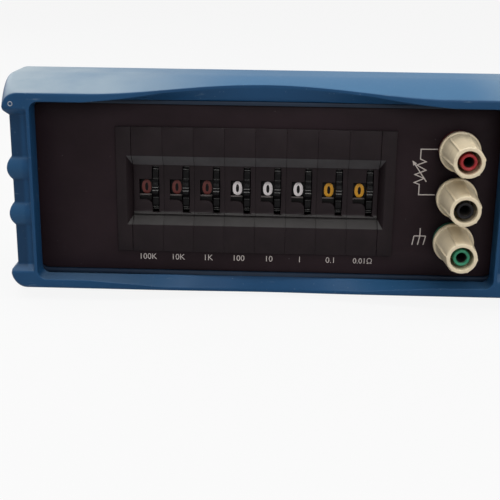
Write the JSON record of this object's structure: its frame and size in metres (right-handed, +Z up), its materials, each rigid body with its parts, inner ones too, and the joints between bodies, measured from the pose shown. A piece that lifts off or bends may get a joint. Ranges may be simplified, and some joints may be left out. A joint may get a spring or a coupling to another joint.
{
  "type": "decade resistance box",
  "caption": "Bench decade resistance box with a row of thumbwheel switches, socket terminals with screw knobs, and a flared rubber boot.",
  "frame": {"origin": "centre of the bounding box's base, on the surface that the box rests on", "axes": "+X to the user's right along the switch bank, +Y from the user into the box, +Z up"},
  "size_m": [0.214, 0.0746, 0.0918],
  "materials": {
    "panel_paint": "matt black paint",
    "case_plastic": "fine textured moulding",
    "blue_rubber": "matt, slightly scuffed",
    "module_plastic": "satin black moulding",
    "wheel_plastic": "polished black moulding",
    "card_laminate": "solder resist",
    "cream_plastic": "semi-gloss moulding",
    "red_plastic": "semi-gloss moulding",
    "black_plastic": "semi-gloss moulding",
    "green_plastic": "semi-gloss moulding",
    "brass": "turned",
    "steel": "zinc plated"
  },
  "bodies": {
    "root": {"front_panel": "panel_paint", "rear_panel": "panel_paint", "case_top_shell": "case_plastic", "case_bottom_shell": "case_plastic", "protective_boot": "blue_rubber", "switch_module_1": "module_plastic", "switch_module_2": "module_plastic", "switch_module_3": "module_plastic", "switch_module_4": "module_plastic", "switch_module_5": "module_plastic", "switch_module_6": "module_plastic", "switch_module_7": "module_plastic", "switch_module_8": "module_plastic", "switch_end_cheek_left": "module_plastic", "switch_end_cheek_right": "module_plastic", "resistor_card_1": "card_laminate", "resistor_card_2": "card_laminate", "resistor_card_3": "card_laminate", "resistor_card_4": "card_laminate", "resistor_card_5": "card_laminate", "resistor_card_6": "card_laminate", "resistor_card_7": "card_laminate", "resistor_card_8": "card_laminate", "switch_tie_rod_upper": "steel", "switch_tie_rod_lower": "steel", "case_screw_1": "steel", "case_screw_2": "steel", "case_screw_3": "steel", "case_screw_4": "steel", "red_terminal_base": "red_plastic", "red_terminal_sleeve": "red_plastic", "red_terminal_post": "brass", "red_terminal_nut": "steel", "black_terminal_base": "black_plastic", "black_terminal_sleeve": "black_plastic", "black_terminal_post": "brass", "black_terminal_nut": "steel", "green_terminal_base": "green_plastic", "green_terminal_sleeve": "green_plastic", "green_terminal_post": "brass", "green_terminal_nut": "steel", "red_lead": "red_plastic", "black_lead": "black_plastic", "earth_lead": "green_plastic"},
    "thumbwheel_1": {"thumbwheel_1": "wheel_plastic"},
    "thumbwheel_2": {"thumbwheel_2": "wheel_plastic"},
    "thumbwheel_3": {"thumbwheel_3": "wheel_plastic"},
    "thumbwheel_4": {"thumbwheel_4": "wheel_plastic"},
    "thumbwheel_5": {"thumbwheel_5": "wheel_plastic"},
    "thumbwheel_6": {"thumbwheel_6": "wheel_plastic"},
    "thumbwheel_7": {"thumbwheel_7": "wheel_plastic"},
    "thumbwheel_8": {"thumbwheel_8": "wheel_plastic"},
    "red_washer": {"red_terminal_washer": "steel"},
    "red_knob": {"red_terminal_knob": "cream_plastic"},
    "black_washer": {"black_terminal_washer": "steel"},
    "black_knob": {"black_terminal_knob": "cream_plastic"},
    "green_washer": {"green_terminal_washer": "steel"},
    "green_knob": {"green_terminal_knob": "cream_plastic"}
  },
  "joints": [
    {"name": "thumbwheel_1_turn", "type": "hinge", "parent": "root", "child": "thumbwheel_1", "pos_m": [-0.04885, 0.00505, 0.0453], "axis": [1, 0, 0], "continuous": true},
    {"name": "thumbwheel_2_turn", "type": "hinge", "parent": "root", "child": "thumbwheel_2", "pos_m": [-0.03615, 0.00505, 0.0453], "axis": [1, 0, 0], "continuous": true},
    {"name": "thumbwheel_3_turn", "type": "hinge", "parent": "root", "child": "thumbwheel_3", "pos_m": [-0.02345, 0.00505, 0.0453], "axis": [1, 0, 0], "continuous": true},
    {"name": "thumbwheel_4_turn", "type": "hinge", "parent": "root", "child": "thumbwheel_4", "pos_m": [-0.01075, 0.00505, 0.0453], "axis": [1, 0, 0], "continuous": true},
    {"name": "thumbwheel_5_turn", "type": "hinge", "parent": "root", "child": "thumbwheel_5", "pos_m": [0.00195, 0.00505, 0.0453], "axis": [1, 0, 0], "continuous": true},
    {"name": "thumbwheel_6_turn", "type": "hinge", "parent": "root", "child": "thumbwheel_6", "pos_m": [0.01465, 0.00505, 0.0453], "axis": [1, 0, 0], "continuous": true},
    {"name": "thumbwheel_7_turn", "type": "hinge", "parent": "root", "child": "thumbwheel_7", "pos_m": [0.02735, 0.00505, 0.0453], "axis": [1, 0, 0], "continuous": true},
    {"name": "thumbwheel_8_turn", "type": "hinge", "parent": "root", "child": "thumbwheel_8", "pos_m": [0.04005, 0.00505, 0.0453], "axis": [1, 0, 0], "continuous": true},
    {"name": "red_washer_slide", "type": "slide", "parent": "root", "child": "red_washer", "axis": [0, -1, 0], "range_m": [0, 0.004]},
    {"name": "red_knob_turn", "type": "hinge", "parent": "red_washer", "child": "red_knob", "pos_m": [0.07748, -0.01155, 0.06455], "axis": [0, -1, 0], "range_deg": [0, 1800]},
    {"name": "black_washer_slide", "type": "slide", "parent": "root", "child": "black_washer", "axis": [0, -1, 0], "range_m": [0, 0.004]},
    {"name": "black_knob_turn", "type": "hinge", "parent": "black_washer", "child": "black_knob", "pos_m": [0.07748, -0.01155, 0.0455], "axis": [0, -1, 0], "range_deg": [0, 1800]},
    {"name": "green_washer_slide", "type": "slide", "parent": "root", "child": "green_washer", "axis": [0, -1, 0], "range_m": [0, 0.004]},
    {"name": "green_knob_turn", "type": "hinge", "parent": "green_washer", "child": "green_knob", "pos_m": [0.07748, -0.01155, 0.02645], "axis": [0, -1, 0], "range_deg": [0, 1800]}
  ],
  "couplings": [
    {"joint": "red_knob_turn", "follows": "red_washer_slide", "rad_per_m": 7853.9},
    {"joint": "black_knob_turn", "follows": "black_washer_slide", "rad_per_m": 7853.9},
    {"joint": "green_knob_turn", "follows": "green_washer_slide", "rad_per_m": 7853.9}
  ]
}
